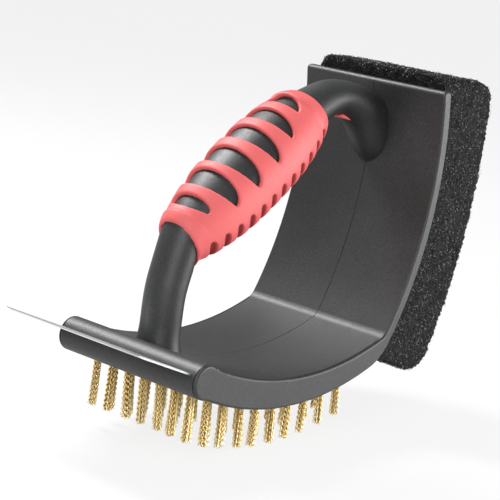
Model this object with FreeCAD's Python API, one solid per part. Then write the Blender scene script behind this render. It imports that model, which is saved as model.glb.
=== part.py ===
"""Three-in-one grill brush: a curved hand tool with a wire brush underneath, a scraper blade at the
front, a scouring pad on the back wall and a diagonal loop handle with a soft grip.

Axes: +X to the rear (pad), -X to the scraper, +Z up along the tufts, Y across the tool.  Shapes are
drawn about the centre of the front bead and moved at the end, so that the finished part has its
origin at the middle of its base.  Millimetres and degrees."""
import FreeCAD, Part
import math
import os

V = FreeCAD.Vector

# ---- driving dimensions -------------------------------------------------------------------------
WIDTH = 90.0                  # across the tool
BEAD_R = 8.3                  # front bead that holds the blade
TOP_EDGE_R = 2.2              # rounding of the wall's top edge
SIDE_EDGE_R = 1.2             # rounding round the two side faces
BEAD_EDGE_R = 1.4             # rounding of the bead's ends

FLOOR_R = 165.0               # floor and sole arcs share this radius
FLOOR_C = (67.0, 159.1)       # centre of the floor's upper surface (X, Z)
SOLE_C = (61.0, 145.2)        # centre of the underside
FLOOR_FROM_X = 7.0            # where the floor and the underside leave the bead
SOLE_FROM_X = -3.6
WALL_C = (-25.0, 97.0)        # centre of the back wall's arcs
WALL_IN_R = 179.5
WALL_OUT_R = 185.3
WALL_TOP_Z = 130.5
INNER_BEND_R = 7.0
OUTER_BEND_R = 28.0

TUFT_ROWS = 10                # rows from front to rear
TUFTS_ACROSS = 7
TUFT_PITCH_X = 12.0
TUFT_PITCH_Y = 10.15
TUFT_FIRST_X = 5.8
TUFT_R = 1.95
TUFT_TIP_C = (64.0, 135.0)    # the cut tips lie on this arc
TUFT_TIP_R = 178.0
TUFT_DEPTH = 7.0              # how deep a tuft is set in its hole
ANCHOR_SIZE = (0.5, 5.1, 1.6)  # the flat wire staple: X, Y, Z
ANCHOR_DROP = 2.6             # its lower edge below the tuft's root

PLATE_X = (2.6, 120.0)        # bristle plate, front and rear end
PLATE_HALF_Y = 37.0
PLATE_THICK = 9.0             # from the underside to its upper face
PLATE_RECESS = 0.6            # its lower face sits this far inside the underside
FLANGE_THICK = 3.2            # retaining flange along the plate's top
FLANGE_REACH = 3.0
FIT_GAP = 0.15                # moulding clearance between pieces that slip together

GRIP_ANGLE = 37.5             # slope of the grip's axis
GRIP_MID = (59.0, 83.3)       # middle of the grip (X, Z)
GRIP_SPAN = (-50.5, 51.0)     # sleeve ends along the axis, from the middle
SLEEVE_THICK = 2.3
SLEEVE_LIP = 1.1              # thickness at the sleeve's two ends

SHELL_WALL = 3.0              # wall of the hollow handle
HOLLOW_END = 5.0              # the hollow stops this far short of the floor and the wall
SEAM = 0.15                   # half width of the parting groove along the floor and the wall
SEAM_FROM_X = 9.5
SEAM_DEPTH = 0.5
CREASE_Y = (43.2, 43.7)       # groove that sets the two edge rims off from the floor and the bead
CREASE_DEPTH = 0.5
CREASE_END_X = 127.0
HALF_SPAN = 60.0              # cutters that run across the tool reach this far each side
POCKET_RUN = 4.0              # the plate's pocket is cut from this far below the underside
SLOT_RUN = 30.0               # the blade's slot is cut from this far in front
SLOT_GAP = 0.1

BLADE_ANGLE = 160.0           # direction of the blade in the XZ plane
BLADE_AT = (0.0, 1.2)         # a point of its middle plane
BLADE_OUT = 45.2              # reach of the edge from that point
BLADE_IN = 2.2                # depth behind that point
BLADE_THICK = 0.9
BLADE_Y = (-41.0, 45.0)
BLADE_PIN_R = 1.5
BLADE_PIN_LENGTH = 10.0
BLADE_PIN_OUT = 1.2           # pins sit this far out from the blade's reference point
BLADE_PIN_Y = (-24.0, 24.0)

HOOK_THICK = 1.2              # hook sheet bonded to the wall
LOOP_THICK = 1.0              # loop backing of the pad
PAD_GAP = 0.3                 # hooks stand this far off the loops
PAD_C = (-80.0, 108.0)        # centre of the pad's rear face
PAD_R = 280.0
PAD_HALF_Y = 41.0
PAD_TOP_Z = 137.2             # the top face slopes down to the rear
PAD_TOP_FALL = 3.4
PAD_FOOT_Z = -5.0             # the lower end, at the wall and at the rear face
PAD_HEEL_Z = -19.0
HOOK_Z = (14.0, 124.5)        # lower and upper end of the hook sheet
HOOK_HALF_Y = 38.0
PAD_CORNER_R = 10.0
PAD_SIDE_R = 9.0              # rounding of the pad's corners seen from behind

SCREW_R = 1.35                # shank, which fills its pilot hole
SCREW_HOLE_R = 1.7            # clearance hole in the far half
SCREW_RECESS_R = 3.3          # recess round the head
SCREW_LENGTH = 14.0
LONG_SCREW_LENGTH = 24.0      # the one in the thick rear bend
SCREW_HEAD_R = 2.9
SCREW_HEAD_H = 2.2
SCREW_AT = [(13.0, 10.0), (14.8, 35.0), (111.5, 116.4), (133.0, 116.5), (129.2, 1.8)]
BOSS_R = 3.9
OVAL_POINTS = 12               # interpolation points of a handle section

TONGUE_SIZE = (13.0, 9.0, 5.4)
TONGUE_AT = (129.0, 115.2)
TONGUE_TILT = 12.0

# Handle stations: X, Z, direction, half thickness in the XZ plane, half width along Y
ARM_FRONT = [(13.0, -5.0, 90, 11.8, 13.8), (13.0, 1.5, 90, 10.2, 12.4), (13.1, 8.0, 89, 8.9, 11.2),
             (13.3, 19.0, 88, 8.5, 10.8), (14.0, 31.0, 83, 8.6, 10.8), (17.0, 43.5, 70, 8.9, 10.8)]
ARM_REAR = [(108.5, 118.0, 22, 9.3, 11.3), (118.5, 120.6, 8, 8.7, 11.1), (129.0, 119.8, -14, 9.0, 11.0),
            (138.5, 116.6, -30, 10.4, 11.1), (147.0, 112.0, -42, 12.2, 11.4), (154.0, 106.0, -48, 13.8, 11.7),
            (161.0, 100.0, -50, 15.0, 12.0), (168.0, 94.5, -50, 16.0, 12.4)]
GRIP_STATIONS = [(-50, 10.4, 11.0), (-42, 12.0, 12.9), (-30, 14.6, 16.1), (-15, 16.6, 18.1), (0, 17.2, 18.8),
                 (15, 17.1, 18.7), (30, 15.8, 17.3), (42, 13.3, 14.6), (50, 11.3, 12.7)]

# Grip windows: middle along the axis, half width, half length across the grip
WINDOWS = [(-35.6, 2.9, 13.0), (-21.6, 4.7, 18.8), (-6.3, 5.1, 20.0), (10.0, 4.5, 19.8), (25.2, 4.1, 17.8),
           (39.7, 3.1, 11.0)]
WINDOW_POWER = 2.6            # how square a window's outline is: 2 is an ellipse
WINDOW_BOW = 0.7              # how far its tips lean forward, in half widths
WINDOW_POINTS = 20
GROOVES = 12
GROOVE_PITCH = 7.8
GROOVE_R = 1.9
GROOVE_TOP = -5.0             # the grooves run below this height in the grip's own frame


# ---- small helpers ------------------------------------------------------------------------------
def meet(c1, r1, c2, r2, near):
    """The crossing of two circles in the XZ plane that lies nearest to a point."""
    dx, dz = c2[0] - c1[0], c2[1] - c1[1]
    d = math.hypot(dx, dz)
    along = (r1 * r1 - r2 * r2 + d * d) / (2 * d)
    off = math.sqrt(r1 * r1 - along * along)
    base = (c1[0] + along * dx / d, c1[1] + along * dz / d)
    both = [(base[0] - s * off * dz / d, base[1] + s * off * dx / d) for s in (1, -1)]
    return min(both, key=lambda p: math.hypot(p[0] - near[0], p[1] - near[1]))


def at_height(centre, radius, z):
    """The rear point of a circle at one height."""
    return (centre[0] + math.sqrt(radius ** 2 - (z - centre[1]) ** 2), z)


def at_place(centre, radius, x):
    """The lower point of a circle at one X."""
    return (x, centre[1] - math.sqrt(radius ** 2 - (x - centre[0]) ** 2))


def arc(centre, radius, start, end):
    """The short arc of a circle from one point to another, in the XZ plane."""
    mid = ((start[0] + end[0]) / 2 - centre[0], (start[1] + end[1]) / 2 - centre[1])
    scale = radius / math.hypot(*mid)
    middle = (centre[0] + mid[0] * scale, centre[1] + mid[1] * scale)
    return Part.Arc(point(start), point(middle), point(end)).toShape()


def point(xz, y=0.0):
    return V(xz[0], y, xz[1])


def line(start, end):
    return Part.makeLine(point(start), point(end))


def prism(edges, y0, y1):
    """A closed outline in the XZ plane, extruded from y0 to y1."""
    face = Part.Face(Part.Wire(Part.__sortEdges__(edges)))
    face.translate(V(0, y0, 0))
    return face.extrude(V(0, y1 - y0, 0))


def rod(xz, radius, y0, y1):
    return Part.makeCylinder(radius, y1 - y0, point(xz, y0), V(0, 1, 0))


def cross_rod(xz, radius):
    """A rod that runs right across the tool."""
    return rod(xz, radius, -HALF_SPAN, HALF_SPAN)


def slab(y0, y1):
    """A block that holds the whole tool between two planes across Y."""
    return Part.makeBox(400, y1 - y0, 400, V(-150, y0, -150))


def edges_at(shape, xz):
    """The straight edges across the tool that pass through one point of the XZ plane."""
    found = []
    for edge in shape.Edges:
        middle = edge.valueAt((edge.FirstParameter + edge.LastParameter) / 2)
        if abs(middle.y) < 0.01 and math.hypot(middle.x - xz[0], middle.z - xz[1]) < 0.01:
            found.append(edge)
    return found


def rim_edges(shape, half_y):
    """The edges that lie wholly in the two side faces."""
    return [e for e in shape.Edges
            if e.BoundBox.YLength < 0.01 and abs(abs(e.BoundBox.Center.y) - half_y) < 0.01]


# ---- body ---------------------------------------------------------------------------------------
def head_solid(inset):
    """The curved head: floor, bend and back wall, and the front bead."""
    half_y = WIDTH / 2 - inset
    sole_r, floor_r = FLOOR_R - inset, FLOOR_R + inset
    out_r, in_r = WALL_OUT_R - inset, WALL_IN_R + inset
    heel_out = meet(SOLE_C, sole_r, WALL_C, out_r, (130, -5))
    heel_in = meet(FLOOR_C, floor_r, WALL_C, in_r, (131, 7))
    top_out = at_height(WALL_C, out_r, WALL_TOP_Z - inset)
    top_in = at_height(WALL_C, in_r, WALL_TOP_Z - inset)
    lip = at_place(FLOOR_C, floor_r, FLOOR_FROM_X)
    toe = at_place(SOLE_C, sole_r, SOLE_FROM_X)
    sheet = prism([arc(SOLE_C, sole_r, toe, heel_out), arc(WALL_C, out_r, heel_out, top_out),
                   line(top_out, top_in), arc(WALL_C, in_r, top_in, heel_in),
                   arc(FLOOR_C, floor_r, heel_in, lip), line(lip, (0, 0)), line((0, 0), toe)], -half_y, half_y)
    sheet = sheet.makeFillet(OUTER_BEND_R, edges_at(sheet, heel_out))
    sheet = sheet.makeFillet(INNER_BEND_R, edges_at(sheet, heel_in))
    if not inset:
        sheet = sheet.makeFillet(TOP_EDGE_R, edges_at(sheet, top_out) + edges_at(sheet, top_in))
        rims = [e for e in rim_edges(sheet, half_y) if e.BoundBox.Center.x > 8 or e.BoundBox.XLength > 20]
        sheet = sheet.makeFillet(SIDE_EDGE_R, rims)
    bead = rod((0, 0), BEAD_R - inset, -half_y, half_y)
    if not inset:
        bead = bead.makeFillet(BEAD_EDGE_R, [e for e in bead.Edges if e.BoundBox.YLength < 0.01])
    return sheet.fuse(bead)


def grip_point(t, n=0.0):
    """A point t along the grip's axis from its middle and n above the axis, as X and Z."""
    c, s = math.cos(math.radians(GRIP_ANGLE)), math.sin(math.radians(GRIP_ANGLE))
    return (GRIP_MID[0] + t * c - n * s, GRIP_MID[1] + t * s + n * c)


def oval(x, z, direction, half_in, half_y):
    """A rounded section square to a direction in the XZ plane, always started at its +Y end."""
    turn = math.radians(direction)
    across = V(-math.sin(turn), 0, math.cos(turn))
    ring = []
    for k in range(OVAL_POINTS):
        angle = 2 * math.pi * k / OVAL_POINTS
        ring.append(V(x, 0, z) + V(0, 1, 0) * half_y * math.cos(angle) + across * half_in * math.sin(angle))
    curve = Part.BSplineCurve()
    curve.interpolate(ring, PeriodicFlag=True)
    return Part.Wire(curve.toShape())


def loft(stations):
    return Part.makeLoft([oval(*station) for station in stations], True, False)


def grip_stations(inset):
    """The grip core's sections, shrunk by an inset."""
    return [(*grip_point(t), GRIP_ANGLE, a - inset, b - inset) for t, a, b in GRIP_STATIONS]


def sleeve_stations():
    """The sleeve's outer sections: thin at the lips, full over the palm, a little past both ends."""
    rows = []
    for t, half_in, half_y in GRIP_STATIONS:
        grow = SLEEVE_LIP if abs(t) == GRIP_STATIONS[-1][0] else SLEEVE_THICK
        rows.append((*grip_point(t * 1.04), GRIP_ANGLE, half_in + grow, half_y + grow))
    return rows


def handle_bar(inset):
    """Front arm, grip core and rear arm, lofted in three runs that meet under the sleeve."""
    def shrunk(stations):
        return [(x, z, d, a - inset, b - inset) for x, z, d, a, b in stations]
    front, grip, rear = shrunk(ARM_FRONT), grip_stations(inset), shrunk(ARM_REAR)
    return loft(front + grip[:2]).fuse([loft(grip[1:-1]), loft(grip[-2:] + rear)])


def handle_solid(inset):
    """The loop handle, trimmed behind the wall."""
    return handle_bar(inset).common(cross_rod(WALL_C, (WALL_IN_R + WALL_OUT_R) / 2 - inset))


def plate_strip(x0, x1, drop, thick, half_y):
    """A strip that follows the underside, from drop above it."""
    low_r, high_r = FLOOR_R - drop, FLOOR_R - drop - thick
    a, b = at_place(SOLE_C, low_r, x0), at_place(SOLE_C, low_r, x1)
    c, d = at_place(SOLE_C, high_r, x1), at_place(SOLE_C, high_r, x0)
    return prism([arc(SOLE_C, low_r, a, b), line(b, c), arc(SOLE_C, high_r, c, d), line(d, a)], -half_y, half_y)


def plate_solid(gap, drop):
    """The bristle plate with its retaining flange; a gap and a negative drop make the pocket for it."""
    x0, x1 = PLATE_X[0] - gap, PLATE_X[1] + gap
    half_y = PLATE_HALF_Y + gap
    main = plate_strip(x0, x1, drop, PLATE_THICK - drop + gap, half_y)
    flange_drop = PLATE_THICK - FLANGE_THICK - gap
    return main.fuse(plate_strip(x0, x1, flange_drop, FLANGE_THICK + 2 * gap, half_y + FLANGE_REACH))


def blade_frame():
    turn = math.radians(BLADE_ANGLE)
    return V(math.cos(turn), 0, math.sin(turn)), V(-math.sin(turn), 0, math.cos(turn))


def blade_slab(reach, depth, thick, y0, y1):
    """A flat block on the blade's plane."""
    out, up = blade_frame()
    corners = [(reach, thick / 2), (-depth, thick / 2), (-depth, -thick / 2), (reach, -thick / 2)]
    points = [point(BLADE_AT, y0) + out * r + up * t for r, t in corners]
    face = Part.Face(Part.makePolygon(points + points[:1]))
    return face.extrude(V(0, y1 - y0, 0))


def pin_at(y):
    """A round pin square to the blade, near its inner edge."""
    out, up = blade_frame()
    foot = point(BLADE_AT, y) + out * BLADE_PIN_OUT - up * BLADE_PIN_LENGTH / 2
    return Part.makeCylinder(BLADE_PIN_R, BLADE_PIN_LENGTH, foot, up)


def screw_cuts(xz):
    """Clearance hole and head recess on the far side, pilot hole on the near side."""
    head_y = screw_head_y(xz)
    pilot = rod(xz, SCREW_R, head_y - screw_length(xz) - 0.5, 0)
    return pilot.fuse([rod(xz, SCREW_HOLE_R, 0, head_y), rod(xz, SCREW_RECESS_R, head_y, HALF_SPAN)])


def screw_head_y(xz):
    """Where the screw head seats, measured from the parting plane."""
    return 12.0 if xz == SCREW_AT[-1] else 6.4


def screw_length(xz):
    return LONG_SCREW_LENGTH if xz == SCREW_AT[-1] else SCREW_LENGTH


def edge_crease(y0, y1):
    """The groove inside one edge rim, round the bead and along the floor as far as the bend."""
    length, height = CREASE_END_X + 20, 60
    return Part.makeBox(length, y1 - y0, height, V(-20, y0, -30)).cut(head_solid(CREASE_DEPTH))


def body_halves():
    """The two half shells, near side (-Y) and far side (+Y)."""
    body = head_solid(0).fuse(handle_solid(0))
    hollow = handle_solid(SHELL_WALL).common(cross_rod(FLOOR_C, FLOOR_R - HOLLOW_END))
    hollow = hollow.common(cross_rod(WALL_C, WALL_IN_R - HOLLOW_END))
    for xz in SCREW_AT:
        hollow = hollow.cut(cross_rod(xz, BOSS_R))
    body = body.cut(hollow).cut(plate_solid(FIT_GAP, -POCKET_RUN))
    body = body.cut(blade_slab(SLOT_RUN, BLADE_IN + SLOT_GAP, BLADE_THICK + SLOT_GAP, BLADE_Y[0] - SLOT_GAP, HALF_SPAN))
    for y in BLADE_PIN_Y:
        body = body.cut(pin_at(y))
    for xz in SCREW_AT:
        body = body.cut(screw_cuts(xz))
    groove = Part.makeBox(200, 2 * SEAM, 200, V(SEAM_FROM_X, -SEAM, -50))
    body = body.cut(groove.cut(head_solid(SEAM_DEPTH).fuse(handle_solid(0))))
    for y0, y1 in (CREASE_Y, (-CREASE_Y[1], -CREASE_Y[0])):
        body = body.cut(edge_crease(y0, y1))
    near = body.common(slab(-100, 0))
    far = body.common(slab(0, 100))
    return near, far


# ---- pieces fixed to the body -------------------------------------------------------------------
def body_screws():
    """Five pan-head screws, driven from the far side."""
    screws = []
    for xz in SCREW_AT:
        head_y = screw_head_y(xz)
        shank = rod(xz, SCREW_R, head_y - screw_length(xz), head_y)
        head = rod(xz, SCREW_HEAD_R, head_y, head_y + SCREW_HEAD_H)
        head = head.makeFillet(0.9, [e for e in head.Edges if abs(e.BoundBox.YMin - head_y - SCREW_HEAD_H) < 0.01])
        screw = shank.fuse(head)
        for turn in (0, 90):
            cross = Part.makeBox(3.2, 1.4, 0.8, V(-1.6, head_y + SCREW_HEAD_H - 1.2, -0.4))
            cross.rotate(V(0, 0, 0), V(0, 1, 0), turn)
            cross.translate(point(xz))
            screw = screw.cut(cross)
        screws.append(screw)
    return Part.makeCompound(screws)


def tuft_x(row):
    return TUFT_FIRST_X + row * TUFT_PITCH_X


def tuft_ends(x):
    """Heights of a tuft's cut tip and of its root in the plate."""
    return at_place(TUFT_TIP_C, TUFT_TIP_R, x)[1], at_place(SOLE_C, FLOOR_R, x)[1] + TUFT_DEPTH


def tuft_ys():
    middle = (TUFTS_ACROSS - 1) / 2
    return [(i - middle) * TUFT_PITCH_Y for i in range(TUFTS_ACROSS)]


def anchor(x, y):
    """A flat wire staple across a tuft's root."""
    thick, width, height = ANCHOR_SIZE
    return Part.makeBox(thick, width, height, V(x - thick / 2, y - width / 2, tuft_ends(x)[1] - ANCHOR_DROP))


def tuft_row(row):
    """Seven bundles of crimped wire, each round its staple."""
    x = tuft_x(row)
    tip, root = tuft_ends(x)
    tufts = [Part.makeCylinder(TUFT_R, root - tip, V(x, y, tip)).cut(anchor(x, y)) for y in tuft_ys()]
    return Part.makeCompound(tufts)


def tuft_anchors():
    return Part.makeCompound([anchor(tuft_x(r), y) for r in range(TUFT_ROWS) for y in tuft_ys()])


def bristle_plate():
    """The insert that carries the tufts, drilled with one blind hole for each."""
    plate = plate_solid(0, PLATE_RECESS)
    holes = []
    for row in range(TUFT_ROWS):
        x = tuft_x(row)
        for y in tuft_ys():
            holes.append(Part.makeCylinder(TUFT_R, 20, V(x, y, tuft_ends(x)[1] - 20)))
    plate = plate.cut(Part.makeCompound(holes))
    return plate.cut(tuft_anchors())


def scraper_blade():
    """A stainless blade with a bevelled edge and two pin holes."""
    blade = blade_slab(BLADE_OUT, BLADE_IN, BLADE_THICK, *BLADE_Y)
    out, up = blade_frame()
    tip = point(BLADE_AT, BLADE_Y[0] - 1) + out * BLADE_OUT
    bevel = [tip + up * 1.0 + out, tip - up * (BLADE_THICK / 2 - 0.25) + out, tip - up * (BLADE_THICK / 2 - 0.25),
             tip - out * 3.0 + up * (BLADE_THICK / 2), tip - out * 3.0 + up * 1.0]
    face = Part.Face(Part.makePolygon(bevel + bevel[:1]))
    blade = blade.cut(face.extrude(V(0, WIDTH + 2, 0)))
    for y in BLADE_PIN_Y:
        blade = blade.cut(pin_at(y))
    return blade


def blade_pins():
    return Part.makeCompound([pin_at(y) for y in BLADE_PIN_Y])


# ---- soft grip ----------------------------------------------------------------------------------
def grip_place(shape):
    """Moves a shape drawn with the grip's axis along X and its top along Z to its place."""
    shape.rotate(V(0, 0, 0), V(0, 1, 0), -GRIP_ANGLE)
    shape.translate(point(GRIP_MID))
    return shape


def signed_power(value, power):
    return math.copysign(abs(value) ** power, value)


def window_cutter(t, half_width, half_y):
    """A crescent slot that wraps over the top of the grip, with its tips leaning forward."""
    ring = []
    for k in range(WINDOW_POINTS):
        angle = 2 * math.pi * k / WINDOW_POINTS
        bow = WINDOW_BOW * math.sin(angle) ** 2
        along = half_width * (signed_power(math.cos(angle), 2 / WINDOW_POWER) - bow)
        ring.append(V(t + along, half_y * signed_power(math.sin(angle), 2 / WINDOW_POWER), 0))
    curve = Part.BSplineCurve()
    curve.interpolate(ring, PeriodicFlag=True)
    face = Part.Face(Part.Wire(curve.toShape()))
    return grip_place(face.extrude(V(0, 0, 40)))


def groove_cutter(index):
    """A finger groove across the underside of the grip."""
    t = (index - (GROOVES - 1) / 2) * GROOVE_PITCH
    ring = Part.makeTorus(sleeve_half(t) + 0.3, GROOVE_R, V(t, 0, 0), V(1, 0, 0))
    lower = Part.makeBox(10, 100, 60, V(t - 5, -50, GROOVE_TOP - 60))
    return grip_place(ring.common(lower))


def sleeve_half(t):
    """The sleeve's mean outer radius at a place along its axis."""
    for (t0, a0, b0), (t1, a1, b1) in zip(GRIP_STATIONS, GRIP_STATIONS[1:]):
        if t <= t1:
            break
    share = (t - t0) / (t1 - t0)
    return (a0 + b0) / 2 + share * (a1 + b1 - a0 - b0) / 2 + SLEEVE_THICK


def grip_sleeve():
    """The soft sleeve moulded over the grip core, with windows above and grooves below."""
    outer = loft(sleeve_stations())
    between = Part.makeBox(GRIP_SPAN[1] - GRIP_SPAN[0], 80, 80, V(GRIP_SPAN[0], -40, -40))
    sleeve = outer.common(grip_place(between)).cut(handle_bar(0))
    for window in WINDOWS:
        sleeve = sleeve.cut(window_cutter(*window))
    for index in range(GROOVES):
        sleeve = sleeve.cut(groove_cutter(index))
    return sleeve


def grip_tongue():
    """The small key of grip material under the rear arm."""
    length, width, height = TONGUE_SIZE
    key = Part.makeBox(length, width, height, V(-length / 2, -width / 2, -height))
    key = key.makeFillet(width / 2 - 0.5, [e for e in key.Edges if abs(e.BoundBox.ZLength - height) < 0.01])
    key.rotate(V(0, 0, 0), V(0, 1, 0), TONGUE_TILT)
    key.translate(point(TONGUE_AT))
    return key.cut(handle_bar(0))


# ---- scouring pad -------------------------------------------------------------------------------
def wall_sheet(r0, r1, z0, z1, half_y):
    """A sheet that follows the back of the wall between two radii."""
    a, b = at_height(WALL_C, r0, z0), at_height(WALL_C, r1, z0 - (r1 - r0) * 0.3)
    c, d = at_height(WALL_C, r1, z1), at_height(WALL_C, r0, z1)
    return prism([line(a, b), arc(WALL_C, r1, b, c), line(c, d), arc(WALL_C, r0, d, a)], -half_y, half_y)


def pad_hook_sheet():
    return wall_sheet(WALL_OUT_R, WALL_OUT_R + HOOK_THICK, *HOOK_Z, HOOK_HALF_Y)


def pad_loop_backing():
    r0 = WALL_OUT_R + HOOK_THICK + PAD_GAP
    return wall_sheet(r0, r0 + LOOP_THICK, *HOOK_Z, HOOK_HALF_Y)


def scouring_pad():
    """The non-woven pad: a thick block bent round the wall, with rounded corners."""
    r0 = WALL_OUT_R + PAD_GAP
    foot = at_height(WALL_C, r0, PAD_FOOT_Z)
    top = at_height(WALL_C, r0, PAD_TOP_Z)
    rear_top = at_height(PAD_C, PAD_R, PAD_TOP_Z - PAD_TOP_FALL)
    rear_low = at_height(PAD_C, PAD_R, PAD_HEEL_Z)
    block = prism([line(foot, rear_low), arc(PAD_C, PAD_R, rear_low, rear_top), line(rear_top, top),
                   arc(WALL_C, r0, top, foot)], -PAD_HALF_Y, PAD_HALF_Y)
    block = block.makeFillet(PAD_CORNER_R, edges_at(block, rear_low) + edges_at(block, rear_top))
    frame = Part.makeBox(120, 2 * PAD_HALF_Y, PAD_TOP_Z - PAD_HEEL_Z, V(100, -PAD_HALF_Y, PAD_HEEL_Z))
    block = block.common(frame.makeFillet(PAD_SIDE_R, [e for e in frame.Edges if e.BoundBox.XLength > 100]))
    recess_r = WALL_OUT_R + HOOK_THICK + PAD_GAP + LOOP_THICK
    return block.cut(wall_sheet(r0 - 5, recess_r, HOOK_Z[0] - 0.4, HOOK_Z[1] + 0.4, HOOK_HALF_Y + 0.4))


# ---- write one file for each node ---------------------------------------------------------------
def build_nodes():
    near, far = body_halves()
    nodes = {"right_half_shell": near, "left_half_shell": far, "body_screws": body_screws(),
             "bristle_plate": bristle_plate(), "tuft_anchors": tuft_anchors(), "scraper_blade": scraper_blade(),
             "blade_pins": blade_pins(), "grip_sleeve": grip_sleeve(), "grip_tongue": grip_tongue(),
             "pad_hook_sheet": pad_hook_sheet(), "pad_loop_backing": pad_loop_backing(),
             "scouring_pad": scouring_pad()}
    for row in range(TUFT_ROWS):
        nodes["tuft_row_%02d" % (row + 1)] = tuft_row(row)
    return nodes


def base_shift():
    """From the bead's centre to the middle of the base."""
    out, up = blade_frame()
    edge = V(BLADE_AT[0], 0, BLADE_AT[1]) + out * BLADE_OUT
    x_low = edge.x - abs(up.x) * BLADE_THICK / 2
    x_high = PAD_C[0] + PAD_R
    z_low = min(tuft_ends(tuft_x(row))[0] for row in range(TUFT_ROWS))
    return V(-(x_low + x_high) / 2, 0, -z_low)


os.makedirs("parts", exist_ok=True)
shift = base_shift()
for name, shape in build_nodes().items():
    shape.translate(shift)
    shape.exportStep("parts/%s.step" % name)
    solids = shape.Solids
    print("%-18s %3d solids  %9.1f mm3  valid %s" % (name, len(solids), shape.Volume, shape.isValid()))
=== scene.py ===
import math

import bpy
import numpy as np
from mathutils import Matrix, Vector, noise
from mathutils.bvhtree import BVHTree


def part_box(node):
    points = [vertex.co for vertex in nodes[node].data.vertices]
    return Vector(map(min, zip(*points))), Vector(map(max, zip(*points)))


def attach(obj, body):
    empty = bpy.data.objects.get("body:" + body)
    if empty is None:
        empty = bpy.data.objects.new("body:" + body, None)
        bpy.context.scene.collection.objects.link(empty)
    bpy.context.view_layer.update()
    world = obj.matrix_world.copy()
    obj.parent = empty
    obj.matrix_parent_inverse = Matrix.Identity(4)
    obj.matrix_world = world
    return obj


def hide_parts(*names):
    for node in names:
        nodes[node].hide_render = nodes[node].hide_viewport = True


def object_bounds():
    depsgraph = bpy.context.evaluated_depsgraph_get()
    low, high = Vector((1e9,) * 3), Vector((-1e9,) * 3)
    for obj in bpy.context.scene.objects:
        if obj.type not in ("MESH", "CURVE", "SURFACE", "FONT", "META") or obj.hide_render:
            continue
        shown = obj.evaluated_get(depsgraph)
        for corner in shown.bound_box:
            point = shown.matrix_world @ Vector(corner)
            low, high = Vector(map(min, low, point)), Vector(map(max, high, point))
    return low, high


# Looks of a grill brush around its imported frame: soft grip, crimped brass tufts, fibrous scouring pad,
# hook-and-loop sheets, moulded plastic body and steel blade.  Metres, in the frame of the CAD model.
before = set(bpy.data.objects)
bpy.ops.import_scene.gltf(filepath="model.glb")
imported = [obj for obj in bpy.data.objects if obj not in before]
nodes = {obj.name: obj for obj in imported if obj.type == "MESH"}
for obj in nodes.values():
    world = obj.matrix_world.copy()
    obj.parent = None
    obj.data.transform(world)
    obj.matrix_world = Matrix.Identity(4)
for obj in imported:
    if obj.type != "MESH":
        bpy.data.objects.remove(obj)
cad_low, cad_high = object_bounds()

MM = 0.001
rng = np.random.default_rng(7)

# ---- sizes --------------------------------------------------------------------------------------
TUFTS_ACROSS = 7
TUFT_DEPTH = 7.0 * MM          # length of a tuft inside the plate
WIRE_R = 0.25 * MM
WIRE_SPACING = 0.88 * MM       # between neighbours in a tuft
CRIMP_LENGTH = 2.6 * MM
CRIMP_SIZE = 0.42 * MM
WIRE_STEPS = 5                 # rings for each crimp
WIRE_SIDES = 5
TUFT_LEAN = 0.7                # spreads of the tips in mm: a whole tuft's, each wire's length and bend
TIP_SPREAD = 0.5
STRAY = 0.32
SPLAY = (0.84, 0.26)           # a tuft's width at the root, and how much wider it is at the tips
PAINTED_LIGHT_FROM = 1.2 * MM         # painted shade on inner wires turns to painted light from this far off the tuft's middle,
PAINTED_LIGHT_OVER = 1.3 * MM         # over this distance

GRIP_SLOPE = math.radians(37.5)
SLEEVE_FRONT = -50.5           # the grip's own frame is in millimetres, from its middle
SLEEVE_REAR = 51.0
SLEEVE_THICK = 2.3
SLEEVE_LIP = 1.3
SLEEVE_STEP = 0.55             # grid step of the sleeve's surface
# front edge and rear edge at the top, half length round the grip in degrees, and how far the tips lean back
WINDOWS = [(-39.4, -32.6, 51, 2.6), (-27.2, -16.8, 73, 2.8), (-12.2, -1.0, 75, 2.8), (5.2, 15.0, 72, 1.8),
           (20.8, 30.0, 63, 1.0), (36.0, 43.2, 42, 0.0)]
BELLY = 0.7                    # the sleeve is this much thicker below
LIP_SLANT = 1.8                # and its front end slants by this much
GROOVES = 12
GROOVE_PITCH = 7.8
GROOVE_R = 1.95
GROOVE_START = math.radians(109)
CORE_REACH = 27                # the core's radius is measured from this far out
END_TAPER = 7.0                # length over which the sleeve thins to its lip
BELLY_FROM = math.radians(80)
BELLY_OVER = math.radians(25)
END_ROUND = 1.2                # roundings of the sleeve's ends, window bars, window rims and grooves
BAR_ROUND = 1.0
RIM_ROUND = 0.9
GROOVE_ROUND = 0.4
CORE_OVERLAP = 0.05
SHADE_DEPTH = 1.7              # a groove this deep gets the full painted shade
SHADE_FROM = math.radians(85)
BOX_HALF = 25.0                # half width of the grid that the sleeve is shaped in

TONGUE_VOXEL = 0.35 * MM
PAD_VOXEL = 1.0 * MM
SOFTENING = 3                  # rounds of smoothing after a remesh
PAD_ROUGHNESS = 1.0 * MM
PAD_WAVES = [(250, 0.35), (800, 0.6), (1600, 0.7)]
TOOL_GAP = 2.6 * MM            # fibres start at least this far from the tool
FIBRE_SIDES = 3
# the pad's two kinds of fibre: name, number, steps along one, radius, mean length and range of tints
FIBRES = [
    ("dark", 10900, 5, 0.070 * MM, 3.2 * MM, 0.0, 0.8),
    ("glint", 12500, 4, 0.100 * MM, 1.1 * MM, 0.6, 1.0),
]

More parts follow.
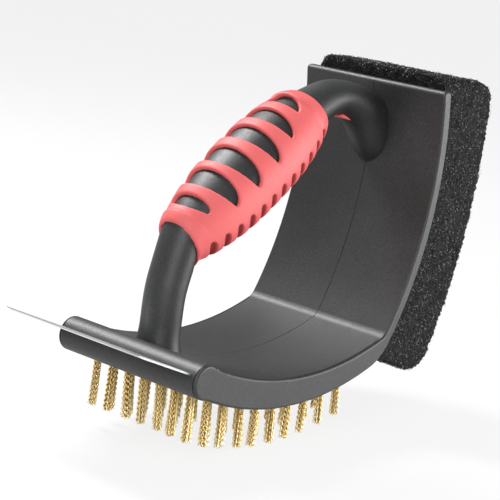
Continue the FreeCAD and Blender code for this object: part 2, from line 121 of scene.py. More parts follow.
HOOK_PITCH = 1.5 * MM
HOOK_R = 0.09 * MM
HOOK_SHAPE = ((0, -0.1), (0, 0.35), (0.08, 0.58), (0.28, 0.66), (0.42, 0.52))        # across, rise in mm
LOOP_PITCH = 1.35 * MM
LOOP_R = 0.06 * MM
LOOP_SHAPE = ((-0.30, -0.1), (-0.42, 0.25), (0.0, 0.5), (0.42, 0.25), (0.30, -0.1))  # along, rise in mm
NAP_SIDES = 4
SHEET_BASE = 0.5 * MM          # thickness of a sheet's woven base
SHEET_EDGE = 0.8 * MM          # no hooks or loops this near the border
SHEET_GRID = (60, 90)          # points across a sheet and along it
WEAVE = 0.06 * MM              # height and pitch of the weave in the sheets' faces
WEAVE_PITCH = 3.9 * MM

FLOOR_HALF = 6.0
# name, place from the object's middle, size and power of each soft light
LIGHTS = [
    ("key", (-0.06, 0.72, 0.85), (0.26, 0.5), 20.0),
    ("left", (-0.88, -0.42, 0.42), (0.5, 0.7), 8.0),
    ("near_fill", (0.80, -0.95, 0.12), (1.0, 0.6), 23.0),
]
WORLD_COLOUR = (0.95, 0.97, 1.0, 1.0)
WORLD_STRENGTH = 0.32
CAMERA_LENS = 126.0
CAMERA_SENSOR = 36.0
CAMERA_OFFSET = (-0.5677, -0.5361, 0.2166)      # from the blade's pins
CAMERA_RIGHT = (0.6568, -0.7439, 0.1237)
CAMERA_UP = (0.0729, 0.2259, 0.9714)


# ---- meshes -------------------------------------------------------------------------------------
def make_mesh(name, points, face_groups):
    """A mesh from an array of points and arrays of faces, one array for each number of corners."""
    mesh = bpy.data.meshes.new(name)
    mesh.vertices.add(len(points))
    mesh.vertices.foreach_set("co", np.asarray(points, np.float32).ravel())
    corners = np.concatenate([np.asarray(g, np.int32).ravel() for g in face_groups])
    counts = np.concatenate([np.full(len(g), len(g[0]), np.int32) for g in face_groups])
    mesh.loops.add(len(corners))
    mesh.loops.foreach_set("vertex_index", corners)
    mesh.polygons.add(len(counts))
    mesh.polygons.foreach_set("loop_start", np.concatenate([[0], np.cumsum(counts)[:-1]]).astype(np.int32))
    mesh.polygons.foreach_set("use_smooth", np.ones(len(counts), bool))
    mesh.update(calc_edges=True)
    mesh.validate()
    return mesh


def add_piece(name, mesh, body, material, replaced=()):
    """Puts a mesh in the scene as a piece that rides on a body and stands for CAD nodes."""
    piece = bpy.data.objects.new(name, mesh)
    bpy.context.scene.collection.objects.link(piece)
    mesh.materials.clear()
    mesh.materials.append(material)
    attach(piece, body)
    if replaced:
        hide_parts(*replaced)
    return piece


def node_points(name):
    mesh = nodes[name].data
    points = np.zeros(len(mesh.vertices) * 3, np.float32)
    mesh.vertices.foreach_get("co", points)
    return points.reshape(-1, 3).astype(float)


def node_tree(*names):
    """One search tree over several CAD nodes."""
    points, faces = [], []
    for name in names:
        mesh = nodes[name].data
        start = len(points)
        points.extend(v.co.copy() for v in mesh.vertices)
        faces.extend([start + i for i in p.vertices] for p in mesh.polygons)
    return BVHTree.FromPolygons(points, faces)


def unit(vectors):
    return vectors / np.maximum(np.linalg.norm(vectors, axis=-1, keepdims=True), 1e-12)


def tubes(paths, radius, sides):
    """Closed round tubes along many paths at once: paths is (tubes, steps, 3)."""
    count, steps, _ = paths.shape
    tangent = unit(np.gradient(paths, axis=1))
    helper = unit(rng.normal(size=(count, 1, 3)))
    first = unit(np.cross(tangent, helper))
    second = np.cross(tangent, first)
    turn = np.arange(sides) * 2 * math.pi / sides
    ring = (first[:, :, None] * np.cos(turn)[:, None] + second[:, :, None] * np.sin(turn)[:, None])
    size = np.broadcast_to(radius, (count, steps))[:, :, None, None]
    points = (paths[:, :, None] + ring * size).reshape(-1, 3)
    at = np.arange(count * steps * sides).reshape(count, steps, sides)
    after = np.roll(at, -1, axis=2)
    sides_faces = np.stack([at[:, :-1], after[:, :-1], after[:, 1:], at[:, 1:]], axis=-1).reshape(-1, 4)
    caps = np.concatenate([at[:, 0, ::-1], at[:, -1]])
    return points, [sides_faces, caps]


def give_tint(mesh, values):
    """A number for each vertex that the material reads."""
    mesh.attributes.new("tint", "FLOAT", "POINT").data.foreach_set("value", values.astype(np.float32))


def remeshed(name, node, voxel):
    """A copy of a CAD node's mesh with even faces and softened edges."""
    copy = bpy.data.objects.new(name, nodes[node].data.copy())
    bpy.context.scene.collection.objects.link(copy)
    remesh = copy.modifiers.new("even", "REMESH")
    remesh.mode = "VOXEL"
    remesh.voxel_size = voxel
    remesh.use_smooth_shade = True
    soften = copy.modifiers.new("soften", "SMOOTH")
    soften.iterations = SOFTENING
    soften.factor = 0.5
    mesh = bpy.data.meshes.new_from_object(copy.evaluated_get(bpy.context.evaluated_depsgraph_get()))
    bpy.data.objects.remove(copy)
    return mesh


# ---- materials ----------------------------------------------------------------------------------
class Look:
    """A node material with short ways to add textures to its shader."""

    def __init__(self, name):
        self.material = bpy.data.materials.new(name)
        self.material.use_nodes = True
        self.tree = self.material.node_tree
        self.shader = self.tree.nodes["Principled BSDF"]
        self.place = self.tree.nodes.new("ShaderNodeTexCoord").outputs["Object"]

    def set(self, **values):
        for socket, value in values.items():
            self.shader.inputs[socket.replace("_", " ")].default_value = value

    def noise(self, scale, detail=3.0, rough=0.55, stretch=(1, 1, 1)):
        mapping = self.tree.nodes.new("ShaderNodeMapping")
        mapping.inputs["Scale"].default_value = stretch
        self.tree.links.new(self.place, mapping.inputs["Vector"])
        texture = self.tree.nodes.new("ShaderNodeTexNoise")
        texture.inputs["Scale"].default_value = scale
        texture.inputs["Detail"].default_value = detail
        texture.inputs["Roughness"].default_value = rough
        self.tree.links.new(mapping.outputs["Vector"], texture.inputs["Vector"])
        return texture.outputs["Fac"]

    def attribute(self, name):
        node = self.tree.nodes.new("ShaderNodeAttribute")
        node.attribute_name = name
        return node.outputs["Fac"]

    def ramp(self, value, stops):
        """Maps a number to colours: stops are (place, colour)."""
        node = self.tree.nodes.new("ShaderNodeValToRGB")
        for k, (place, colour) in enumerate(stops):
            stop = node.color_ramp.elements[k] if k < 2 else node.color_ramp.elements.new(place)
            stop.position = place
            stop.color = (*colour, 1.0)
        self.tree.links.new(value, node.inputs["Fac"])
        return node.outputs["Color"]

    def span(self, value, low, high):
        """Maps a number from 0..1 to low..high."""
        node = self.tree.nodes.new("ShaderNodeMapRange")
        node.inputs["To Min"].default_value = low
        node.inputs["To Max"].default_value = high
        self.tree.links.new(value, node.inputs["Value"])
        return node.outputs["Result"]

    def mix(self, kind, factor, first, second):
        node = self.tree.nodes.new("ShaderNodeMix")
        node.data_type = "RGBA"
        node.blend_type = kind
        node.inputs["Factor"].default_value = factor
        self.tree.links.new(first, node.inputs["A"])
        self.tree.links.new(second, node.inputs["B"])
        return node.outputs["Result"]

    def colour(self, output):
        self.tree.links.new(output, self.shader.inputs["Base Color"])

    def roughness(self, output):
        self.tree.links.new(output, self.shader.inputs["Roughness"])

    def bump(self, height, distance, strength=1.0):
        node = self.tree.nodes.new("ShaderNodeBump")
        node.inputs["Distance"].default_value = distance
        node.inputs["Strength"].default_value = strength
        self.tree.links.new(height, node.inputs["Height"])
        self.tree.links.new(node.outputs["Normal"], self.shader.inputs["Normal"])


def plastic_look():
    """Black moulded plastic: fine spark-eroded texture, slight cloudiness, a few dusty specks."""
    look = Look("moulded_plastic")
    grain = look.noise(1500, 3.0, 0.7)
    cloud = look.noise(60, 4.0)
    base = look.ramp(cloud, [(0.25, (0.013, 0.0132, 0.0135)), (0.75, (0.018, 0.0182, 0.0185))])
    speck = look.ramp(grain, [(0.35, (0.45, 0.45, 0.45)), (0.70, (1.9, 1.9, 1.9))])
    look.colour(look.mix("MULTIPLY", 1.0, base, speck))
    look.roughness(look.span(look.noise(420, 3.0), 0.42, 0.55))
    look.bump(grain, 0.16 * MM, 0.6)
    return look.material


def rubber_look():
    """Coral thermoplastic rubber: satin, with a fine skin, faint colour drift and painted shade in its
    hollows.
    """
    look = Look("grip_rubber")
    base = look.ramp(look.noise(45, 3.0), [(0.3, (0.580, 0.096, 0.098)), (0.7, (0.620, 0.108, 0.108))])
    # painted shade: the tint darkens the rubber in the grooves below the grip
    painted_hollow_shade = look.ramp(look.attribute("tint"), [(0.1, (1, 1, 1)), (0.8, (0.42, 0.2, 0.2))])
    base = look.mix("MULTIPLY", 1.0, base, painted_hollow_shade)
    fine = look.ramp(look.noise(2400, 2.0), [(0.3, (0.94, 0.94, 0.94)), (0.7, (1.04, 1.04, 1.04))])
    look.colour(look.mix("MULTIPLY", 1.0, base, fine))
    look.roughness(look.span(look.noise(300, 3.0), 0.50, 0.64))
    look.bump(look.noise(3000, 2.0), 0.05 * MM, 0.5)
    look.set(Subsurface_Weight=0.06, Subsurface_Scale=0.001, Specular_IOR_Level=0.4)
    return look.material


def brass_look():
    """Bright crimped brass wire, each wire a little different, with painted shade deep in a bundle and
    painted light on its outer wires.
    """
    look = Look("brass_wire")
    # dark stop: painted shade inside a tuft; pale stop: painted light where wires bow out; between them each
    # wire's own tone
    stops = [(0.1, (0.46, 0.30, 0.10)), (0.5, (0.90, 0.68, 0.29)), (0.9, (1.0, 0.93, 0.62))]
    look.colour(look.ramp(look.attribute("tint"), stops))
    look.roughness(look.span(look.noise(900, 2.0), 0.22, 0.42))
    look.bump(look.noise(5000, 2.0), 0.02 * MM, 0.4)
    look.set(Metallic=1.0)
    return look.material


def steel_look(name, low, high, stretch):
    """Rolled or plated steel with fine lines along one direction."""
    look = Look(name)
    lines = look.noise(500, 4.0, 0.6, stretch)
    look.colour(look.ramp(lines, [(0.3, low), (0.7, high)]))
    look.roughness(look.span(lines, 0.24, 0.42))
    look.bump(lines, 0.02 * MM, 0.4)
    look.set(Metallic=1.0)
    return look.material


def fibre_look(name, dark, light, share):
    """Black synthetic fibre with a share of pale ones, chosen by the tint of each fibre; on the pad the pale
    ones are painted glints.
    """
    look = Look(name)
    look.colour(look.ramp(look.attribute("tint"), [(1.0 - share, dark), (min(1.0, 1.12 - share), light)]))
    look.set(Specular_IOR_Level=0.25)
    look.roughness(look.span(look.noise(1500, 2.0), 0.45, 0.75))
    look.bump(look.noise(4000, 2.0), 0.03 * MM, 0.5)
    return look.material


def web_look():
    """The open web below the loose fibres: near black resin with pale specks that are painted glints."""
    look = Look("pad_web")
    web = look.noise(1500, 4.0, 0.75)
    glint_noise = look.noise(1900, 2.0)
    base = look.ramp(web, [(0.46, (0.001, 0.001, 0.001)), (0.60, (0.015, 0.015, 0.0153))])
    # painted glints: small pale specks scattered over the dark web
    painted_glints = look.ramp(glint_noise, [(0.52, (0.4, 0.4, 0.4)), (0.64, (8.0, 8.0, 8.0))])
    look.set(Specular_IOR_Level=0.2)
    look.colour(look.mix("MULTIPLY", 1.0, base, painted_glints))
    look.roughness(look.span(web, 0.55, 0.9))
    look.bump(web, 0.8 * MM, 1.0)
    return look.material


plastic = plastic_look()
rubber = rubber_look()
brass = brass_look()
blade_steel = steel_look("blade_steel", (0.52, 0.53, 0.54), (0.74, 0.75, 0.76), (1, 0.04, 1))
screw_steel = steel_look("screw_steel", (0.42, 0.43, 0.45), (0.66, 0.67, 0.69), (1, 1, 1))
pin_steel = steel_look("pin_steel", (0.45, 0.45, 0.45), (0.66, 0.66, 0.66), (1, 1, 0.1))
web = web_look()
# the pad's pale fibres are painted glints; the rest are black fibre
pad_fibre = fibre_look("pad_fibre", (0.002, 0.002, 0.0021), (0.36, 0.36, 0.36), 0.22)
nylon = fibre_look("hook_nylon", (0.016, 0.016, 0.017), (0.05, 0.05, 0.052), 0.5)


# ---- carried-over CAD nodes ---------------------------------------------------------------------
def dress(node, material):
    """Gives a CAD node its material."""
    mesh = nodes[node].data
    mesh.materials.clear()
    mesh.materials.append(material)


for node, material in (("right_half_shell", plastic), ("left_half_shell", plastic),
                       ("bristle_plate", plastic), ("scraper_blade", blade_steel),
                       ("body_screws", screw_steel), ("blade_pins", pin_steel),
                       ("tuft_anchors", pin_steel)):
    dress(node, material)


# ---- tufts --------------------------------------------------------------------------------------
def wire_places():
    """Centres of a tuft's wires: one in the middle and two hexagonal rings."""
    places = [(0.0, 0.0)]
    for ring in (1, 2):
        for side in range(6):
            for step in range(ring):
                a, b = math.radians(60 * side), math.radians(60 * side + 120)
                x = ring * math.cos(a) + step * math.cos(b)
                y = ring * math.sin(a) + step * math.sin(b)
                places.append((x * WIRE_SPACING, y * WIRE_SPACING))
    return np.array(places)


def tuft_row(node):
    """Seven tufts of crimped wire in the place of one CAD row."""
    low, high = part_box(node)
    tuft_r = (high.x - low.x) / 2
    centres = np.linspace(low.y + tuft_r, high.y - tuft_r, TUFTS_ACROSS)
    places = wire_places()
    tip, root = low.z, high.z - TUFT_DEPTH / 2
    steps = int((root - tip) / CRIMP_LENGTH * WIRE_STEPS)
    z = np.linspace(0, 1, steps)
    paths, tints, middles = [], [], []
    for centre in centres:
        turn = rng.uniform(0, math.pi)
        c, s = math.cos(turn), math.sin(turn)
        lean = rng.normal(0, TUFT_LEAN, 2) * MM
        middle_x, middle_y = low.x + tuft_r + lean[0] * (1 - z), centre + lean[1] * (1 - z)
        for px, py in places:
            ends = tip + abs(rng.normal(0, TIP_SPREAD)) * MM
            height = ends + (root - ends) * z
            phase = rng.uniform(0, 2 * math.pi)
            bend = rng.uniform(0, 2 * math.pi)
            wave = CRIMP_SIZE * np.sin(2 * math.pi * height / CRIMP_LENGTH + phase)
            splay = SPLAY[0] + SPLAY[1] * (1 - z)
            stray = rng.normal(0, STRAY, (2, 1)) * MM * (1 - z) ** 2
            x = middle_x + (px * c - py * s) * splay + wave * math.cos(bend) + stray[0]
            y = middle_y + (px * s + py * c) * splay + wave * math.sin(bend) + stray[1]
            paths.append(np.stack([x, y, height], axis=-1))
            tints.append(rng.uniform(-0.15, 0.2))
            middles.append(np.stack([middle_x, middle_y], axis=-1))
    points, faces = tubes(np.array(paths), WIRE_R, WIRE_SIDES)
    mesh = make_mesh(node + "_wires", points, faces)
    # painted shade on wires deep in a bundle, and painted light on those that bow out of it
    centre_line = np.repeat(np.concatenate(middles), WIRE_SIDES, axis=0)
    reach = np.linalg.norm(points[:, :2] - centre_line, axis=1)
    painted_bundle_light = np.clip((reach - PAINTED_LIGHT_FROM) / PAINTED_LIGHT_OVER, 0, 1)
    give_tint(mesh, painted_bundle_light + np.repeat(tints, steps * WIRE_SIDES))
    add_piece(node + "_wires", mesh, "tool", brass, [node])


for name in sorted(nodes):
    if name.startswith("tuft_row_"):
        tuft_row(name)


# ---- soft grip ----------------------------------------------------------------------------------
def surface_net(values, low, step):
    """The zero surface of a grid of distances (negative inside) as points and outward quads."""
    inside = values < 0
    cells = tuple(n - 1 for n in values.shape)
    total, hits = np.zeros(cells + (3,)), np.zeros(cells)
    for axis in range(3):
        a = np.take(values, range(values.shape[axis] - 1), axis)
        b = np.take(values, range(1, values.shape[axis]), axis)
        crossed = (a < 0) != (b < 0)
        share = np.where(crossed, a / np.where(crossed, a - b, 1.0), 0.0)
        others = [k for k in range(3) if k != axis]
        for da in (0, 1):
            for db in (0, 1):
                window = [slice(None)] * 3
                window[others[0]] = slice(da, da + cells[others[0]])
                window[others[1]] = slice(db, db + cells[others[1]])
                hit = crossed[tuple(window)]
                hits += hit
                total[..., axis] += share[tuple(window)]
                total[..., others[0]] += hit * da
                total[..., others[1]] += hit * db
    used = hits > 0
    index = np.full(cells, -1)
    index[used] = np.arange(used.sum())
    base = np.stack(np.nonzero(used), axis=-1)
    points = low + (base + total[used] / hits[used][:, None]) * step
    quads = []
    for axis in range(3):
        a = np.take(inside, range(values.shape[axis] - 1), axis)
        b = np.take(inside, range(1, values.shape[axis]), axis)
        one, two = (axis + 1) % 3, (axis + 2) % 3
        at = np.stack(np.nonzero(a != b), axis=-1)
        at = at[(at[:, one] > 0) & (at[:, two] > 0) & (at[:, one] < cells[one]) & (at[:, two] < cells[two])]
        leaving = a[tuple(at.T)]
        ring = []
        for d1, d2 in ((-1, -1), (0, -1), (0, 0), (-1, 0)):
            cell = at.copy()
            cell[:, one] += d1
            cell[:, two] += d2
            ring.append(index[tuple(cell.T)])
        ring = np.stack(ring, axis=-1)
        ring[~leaving] = ring[~leaving][:, ::-1]
        quads.append(ring)
    return points, np.concatenate(quads)


def smooth_max(a, b, k):
    """The larger of two distances with the corner rounded over k."""
    mix = np.clip(0.5 + 0.5 * (a - b) / k, 0, 1)
    return b + (a - b) * mix + k * mix * (1 - mix)


def ellipse_distance(u, v, a, b):
    """Near enough the distance to an ellipse's outline, negative inside."""
    k0 = np.sqrt((u / a) ** 2 + (v / b) ** 2)
    k1 = np.sqrt((u / a ** 2) ** 2 + (v / b ** 2) ** 2)
    return k0 * (k0 - 1) / np.maximum(k1, 1e-9)


class Grip:
    """The grip's own frame in millimetres: t along it, y across the tool, n above its axis."""

    def __init__(self):
        sleeve = node_points("grip_sleeve") / MM
        self.along = np.array([math.cos(GRIP_SLOPE), 0, math.sin(GRIP_SLOPE)])
        self.above = np.array([-math.sin(GRIP_SLOPE), 0, math.cos(GRIP_SLOPE)])
        t, n = sleeve @ self.along, sleeve @ self.above
        self.middle = self.along * (t.min() - SLEEVE_FRONT) + self.above * (n.min() + n.max()) / 2
        self.tree = node_tree("right_half_shell", "left_half_shell")
        self.stations = np.linspace(SLEEVE_FRONT - 2.5, SLEEVE_REAR + 1.5, 60)
        self.waves = np.array([self.section(t) for t in self.stations])

    def world(self, points):
        """From t, y, n in millimetres to the frame in metres."""
        t, y, n = points[:, 0:1], points[:, 1:2], points[:, 2:3]
        return (self.middle + t * self.along + n * self.above + y * np.array([0, 1, 0])) * MM

    def section(self, t):
        """The core's radius round the axis at one station, as a short Fourier series."""
        angles = np.radians(np.arange(7.5, 360, 15))
        radii = []
        for angle in angles:
            out = self.above * math.cos(angle) + np.array([0, 1, 0]) * math.sin(angle)
            start = self.middle + t * self.along + out * CORE_REACH
            hit = self.tree.ray_cast(Vector(start * MM), Vector(-out), CORE_REACH * MM)
            radii.append(CORE_REACH - hit[3] / MM)
        return np.linalg.lstsq(self.basis(angles), np.array(radii), rcond=None)[0]

    def basis(self, angle):
        """The terms of the Fourier series at an angle."""
        terms = [f(k * angle) for k in (1, 2, 3, 4) for f in (np.cos, np.sin)]
        return np.stack([np.ones_like(angle)] + terms, -1)

    def core(self, t, angle):
        """The core's radius at any place."""
        count = self.waves.shape[1]
        series = np.stack([np.interp(t, self.stations, self.waves[:, k]) for k in range(count)], -1)
        return (series * self.basis(angle)).sum(-1)


def sleeve_radii(grip, t, angle):
    """Radius of the core and of the sleeve's outer face before anything is cut from it."""
    core = grip.core(t, angle)
    to_end = np.clip(np.minimum(t - SLEEVE_FRONT, SLEEVE_REAR - t) / END_TAPER, 0, 1)
    below = np.clip((np.abs(angle) - BELLY_FROM) / BELLY_OVER, 0, 1)
    thick = SLEEVE_LIP + (SLEEVE_THICK + BELLY * below - SLEEVE_LIP) * to_end ** 0.6
    return core, core + thick


def sleeve_distance(grip, t, y, n):
    """Distance to the sleeve's surface: a skin over the core, less windows and grooves."""
    radius, angle = np.sqrt(y * y + n * n), np.arctan2(y, n)
    core, outer = sleeve_radii(grip, t, angle)
    # the front lip reaches further down the inner side of the arm
    front_end = SLEEVE_FRONT + LIP_SLANT * np.cos(angle)
    skin = smooth_max(radius - outer, np.maximum(front_end - t, t - SLEEVE_REAR), END_ROUND)
    for front, rear, reach, lean in WINDOWS:
        half = np.radians(reach) * outer
        edge = front + lean * np.clip(np.abs(angle) / math.radians(reach), 0, 1.2) ** 2
        oval = ellipse_distance(t - edge, angle * outer, rear - front, half)
        skin = smooth_max(skin, -smooth_max(edge - t, oval, BAR_ROUND), RIM_ROUND)
    past = np.maximum(GROOVE_START - np.abs(angle), 0) * radius
    for k in range(GROOVES):
        place = (k - (GROOVES - 1) / 2) * GROOVE_PITCH
        hollow = np.sqrt((t - place) ** 2 + (radius - outer - 0.1) ** 2 + (0.55 * past) ** 2) - GROOVE_R
        skin = smooth_max(skin, -hollow, GROOVE_ROUND)
    return np.maximum(skin, core - CORE_OVERLAP - radius)


def grip_sleeve():
    """The rubber sleeve, with soft lips round its windows and hollows below."""
    grip = Grip()
    low = np.array([SLEEVE_FRONT - 4, -BOX_HALF, -BOX_HALF])
    lengthwise = np.arange(low[0], SLEEVE_REAR + 2, SLEEVE_STEP)
    crosswise = np.arange(-BOX_HALF, BOX_HALF, SLEEVE_STEP)
    t, y, n = np.meshgrid(lengthwise, crosswise, crosswise, indexing="ij")
    points, quads = surface_net(sleeve_distance(grip, t, y, n), low, SLEEVE_STEP)
    # t, along; y, across; n, above is a left-handed order, so the faces turn over
    mesh = make_mesh("grip_sleeve_skin", grip.world(points), [quads[:, ::-1]])
    angles = np.arctan2(points[:, 1], points[:, 2])
    depth = sleeve_radii(grip, points[:, 0], angles)[1] - np.hypot(points[:, 1], points[:, 2])
    # painted shade: the tint grows with a groove's depth below the grip
    give_tint(mesh, np.where(np.abs(angles) > SHADE_FROM, np.clip(depth / SHADE_DEPTH, 0, 1), 0))
    add_piece("grip_sleeve_skin", mesh, "tool", rubber, ["grip_sleeve"])


grip_sleeve()
tongue = remeshed("grip_tongue_skin", "grip_tongue", TONGUE_VOXEL)
give_tint(tongue, np.zeros(len(tongue.vertices)))
add_piece("grip_tongue_skin", tongue, "tool", rubber, ["grip_tongue"])


# ---- scouring pad -------------------------------------------------------------------------------
def roughen(mesh, size, waves):
    """Moves each vertex along its normal by noise: waves are (scale per metre, share)."""
    normals = [v.normal.copy() for v in mesh.vertices]
    for vertex, normal in zip(mesh.vertices, normals):
        push = sum(share * noise.noise(vertex.co * scale) for scale, share in waves)
        vertex.co += normal * size * push


def fibre_paths(mesh, count, stations, mean_length, keep):
    """Short curved fibres that leave a surface at a low angle."""
    mesh.calc_loop_triangles()
    corners = np.array([t.vertices for t in mesh.loop_triangles])
    points = np.array([v.co for v in mesh.vertices])
    a, b, c = points[corners[:, 0]], points[corners[:, 1]], points[corners[:, 2]]
    area = np.linalg.norm(np.cross(b - a, c - a), axis=1)
    picked = rng.choice(len(area), count, p=area / area.sum())
    u, v = rng.random(count), rng.random(count)
    swap = u + v > 1
    u[swap], v[swap] = 1 - u[swap], 1 - v[swap]
    base = a[picked] + (b - a)[picked] * u[:, None] + (c - a)[picked] * v[:, None]
    normal = unit(np.cross(b - a, c - a))[picked]
    kept = keep(base)
    base, normal = base[kept], normal[kept]
    along = unit(np.cross(normal, rng.normal(size=base.shape)))
    aside = np.cross(normal, along)
    length = rng.uniform(0.6, 1.4, (len(base), 1)) * mean_length
    lift = rng.uniform(0.25, 1.1, (len(base), 1)) * MM
    curl = rng.normal(0, 0.35, (len(base), 1))
    steps = []
    for s in np.linspace(-0.5, 0.5, stations):
        rise = lift * (1 - (2 * s) ** 2 * rng.uniform(1.0, 1.6, (len(base), 1))) - 0.25 * MM
        steps.append(base + along * length * s + aside * length * curl * s * s + normal * rise)
    return np.stack(steps, axis=1)


def scouring_pad():
    """The non-woven pad: an uneven web with loose fibres standing off its faces."""
    mesh = remeshed("scouring_pad_web", "scouring_pad", PAD_VOXEL)
    roughen(mesh, PAD_ROUGHNESS, PAD_WAVES)
    tool = node_tree("right_half_shell", "left_half_shell", "pad_hook_sheet")

    def clear_of_tool(points):
        return np.array([tool.find_nearest(Vector(p))[3] > TOOL_GAP for p in points])

    layers = [fibre_paths(mesh, count, stations, length, clear_of_tool)
              for _, count, stations, _, length, *_ in FIBRES]
    pad = add_piece("scouring_pad_web", mesh, "pad", web, ["scouring_pad"])
    for (kind, _, _, radius, _, low, high), paths in zip(FIBRES, layers):
        name = "scouring_pad_%s_fibres" % kind
        points, faces = tubes(paths, radius, FIBRE_SIDES)
        fibres = make_mesh(name, points, faces)
        give_tint(fibres, np.repeat(rng.uniform(low, high, len(paths)), paths.shape[1] * FIBRE_SIDES))
        add_piece(name, fibres, "pad", pad_fibre)


scouring_pad()


# ---- hook and loop sheets -----------------------------------------------------------------------
class Sheet:
    """A thin curved CAD sheet in its own coordinates: y across, turn round its centre, radius."""

    def __init__(self, node):
        points = node_points(node)
        self.fit(points)
        radius = self.radius(points)
        self.fit(points[radius < np.median(radius)])
        radius = self.radius(points)
        turn = np.arctan2(points[:, 2] - self.centre[1], points[:, 0] - self.centre[0])
        self.inner, self.outer = radius.min(), radius.max()
        self.turns = turn.min(), turn.max()
        self.ys = points[:, 1].min(), points[:, 1].max()

    def radius(self, points):
        return np.hypot(points[:, 0] - self.centre[0], points[:, 2] - self.centre[1])

    def fit(self, points):
        """Sets the centre of the least-squares circle through points in the XZ plane."""
        x, z = points[:, 0], points[:, 2]
        matrix = np.stack([2 * x, 2 * z, np.ones_like(x)], axis=-1)
        self.centre = np.linalg.lstsq(matrix, x * x + z * z, rcond=None)[0][:2]

    def place(self, y, turn, radius):
        """From the sheet's coordinates to the frame."""
        x = self.centre[0] + radius * np.cos(turn)
        z = self.centre[1] + radius * np.sin(turn)
        return np.stack([x, y + 0 * x, z], axis=-1)

    def web(self, low, high):
        """The woven base between two radii, as a closed slab with a fine grid of faces."""
        ys = np.linspace(*self.ys, SHEET_GRID[0])
        turns = np.linspace(*self.turns, SHEET_GRID[1])
        y, turn = np.meshgrid(ys, turns, indexing="ij")
        along = turn * self.inner
        wave = WEAVE * np.sin(y * 2 * math.pi / WEAVE_PITCH) * np.sin(along * 2 * math.pi / WEAVE_PITCH)
        rows, columns = y.shape
        at = np.arange(rows * columns).reshape(rows, columns)
        flat = np.stack([at[:-1, :-1], at[1:, :-1], at[1:, 1:], at[:-1, 1:]], axis=-1).reshape(-1, 4)
        faces = [flat, flat[:, ::-1] + rows * columns]
        for border in (at[:, 0], at[-1, :], at[::-1, -1], at[0, ::-1]):
            under = border + rows * columns
            faces.append(np.stack([border[1:], border[:-1], under[:-1], under[1:]], axis=-1))
        points = np.concatenate([self.place(y, turn, low + wave).reshape(-1, 3),
                                 self.place(y, turn, high + 0 * y).reshape(-1, 3)])
        return points, np.concatenate(faces)

    def scatter(self, pitch):
        """Feet of hooks or loops on an uneven grid, clear of the border."""
        ys = np.arange(self.ys[0] + SHEET_EDGE, self.ys[1] - SHEET_EDGE, pitch)
        edge = SHEET_EDGE / self.inner
        turns = np.arange(self.turns[0] + edge, self.turns[1] - edge, pitch / self.inner)
        y, turn = np.meshgrid(ys, turns, indexing="ij")
        y, turn = y.ravel(), turn.ravel()
        y = y + rng.normal(0, 0.12 * pitch, y.shape)
        return y, turn + rng.normal(0, 0.12 * pitch / self.inner, turn.shape)


def sheet_mesh(name, base_web, paths, radius):
    """One mesh of a sheet's woven base and the hooks or loops that stand on it."""
    points, faces = base_web
    nap, nap_faces = tubes(paths, radius, NAP_SIDES)
    groups = [np.concatenate([faces] + [g + len(points) for g in nap_faces])]
    points = np.concatenate([points, nap])
    mesh = make_mesh(name, points, groups)
    give_tint(mesh, rng.random(len(points)))
    return mesh


def hook_sheet():
    """Woven base on the wall with rows of small bent hooks that point to the pad."""
    sheet = Sheet("pad_hook_sheet")
    base = sheet.inner + SHEET_BASE
    y, turn = sheet.scatter(HOOK_PITCH)
    side = np.where(np.arange(len(y)) % 2, 1.0, -1.0)
    steps = [sheet.place(y + side * across * MM, turn, base + rise * MM) for across, rise in HOOK_SHAPE]
    mesh = sheet_mesh("pad_hook_sheet_hooks", sheet.web(sheet.inner, base), np.stack(steps, axis=1), HOOK_R)
    add_piece("pad_hook_sheet_hooks", mesh, "tool", nylon, ["pad_hook_sheet"])


def loop_backing():
    """Knitted base on the pad with a nap of small loops that face the hooks."""
    sheet = Sheet("pad_loop_backing")
    base = sheet.outer - SHEET_BASE
    y, turn = sheet.scatter(LOOP_PITCH)
    heading = rng.uniform(0, 2 * math.pi, len(y))
    steps = []
    for along, rise in LOOP_SHAPE:
        steps.append(sheet.place(y + along * np.cos(heading) * MM,
                                 turn + along * np.sin(heading) * MM / sheet.inner, base - rise * MM))
    mesh = sheet_mesh("pad_loop_backing_loops", sheet.web(base, sheet.outer), np.stack(steps, axis=1), LOOP_R)
    add_piece("pad_loop_backing_loops", mesh, "pad", nylon, ["pad_loop_backing"])


hook_sheet()
loop_backing()


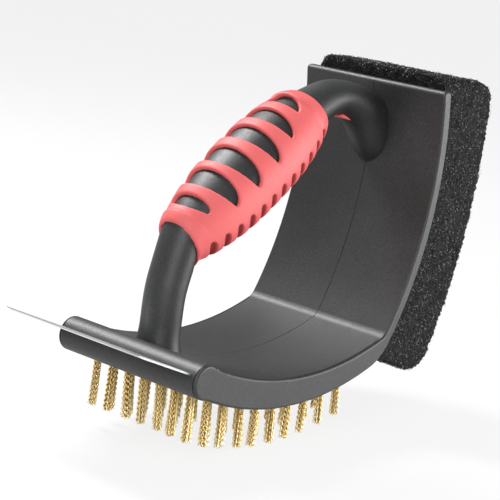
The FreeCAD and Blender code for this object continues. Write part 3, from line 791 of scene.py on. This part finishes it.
# ---- floor, light and camera --------------------------------------------------------------------
def floor_look():
    """Matt near-white: mostly its own even glow, so that shadows on it stay faint."""
    look = Look("floor")
    look.colour(look.ramp(look.noise(3, 2.0), [(0.3, (0.09, 0.09, 0.091)), (0.7, (0.10, 0.10, 0.10))]))
    look.set(Roughness=0.9, Specular_IOR_Level=0.1)
    look.set(Emission_Color=(1.0, 1.0, 1.0, 1.0), Emission_Strength=0.84)
    return look.material


def pale_floor():
    """A wide, plain floor under the tufts."""
    signs = ((-1, -1), (1, -1), (1, 1), (-1, 1))
    points = [(x * FLOOR_HALF, y * FLOOR_HALF, 0.0) for x, y in signs]
    mesh = make_mesh("floor", points, [np.array([[0, 1, 2, 3]])])
    mesh.materials.append(floor_look())
    floor = bpy.data.objects.new("floor", mesh)
    bpy.context.scene.collection.objects.link(floor)


def area_light(name, place, target, size, power):
    """A rectangular light that faces a point."""
    data = bpy.data.lights.new(name, "AREA")
    data.shape = "RECTANGLE"
    data.size, data.size_y = size
    data.energy = power
    light = bpy.data.objects.new(name, data)
    light.location = place
    light.rotation_euler = (target - place).to_track_quat("-Z", "Y").to_euler()
    bpy.context.scene.collection.objects.link(light)


def camera():
    """The viewing angle: a long lens from the front, near side, a little above."""
    low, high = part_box("blade_pins")
    data = bpy.data.cameras.new("camera")
    data.lens = CAMERA_LENS
    data.sensor_width = CAMERA_SENSOR
    data.clip_start, data.clip_end = 0.01, 50.0
    cam = bpy.data.objects.new("camera", data)
    right = Vector(CAMERA_RIGHT)
    up = Vector(CAMERA_UP)
    turn = Matrix((right, up, right.cross(up))).transposed()
    place = (low + high) / 2 + Vector(CAMERA_OFFSET)
    cam.matrix_world = Matrix.Translation(place) @ turn.to_4x4()
    bpy.context.scene.collection.objects.link(cam)
    bpy.context.scene.camera = cam


def world_light():
    """An even, slightly cool light from all round, and plain output colours."""
    world = bpy.data.worlds.new("studio")
    world.use_nodes = True
    background = world.node_tree.nodes["Background"]
    background.inputs["Color"].default_value = WORLD_COLOUR
    background.inputs["Strength"].default_value = WORLD_STRENGTH
    bpy.context.scene.world = world
    bpy.context.scene.view_settings.view_transform = "Standard"


pale_floor()
centre = (cad_low + cad_high) / 2
for name, offset, size, power in LIGHTS:
    area_light(name, centre + Vector(offset), centre, size, power)
world_light()
camera()
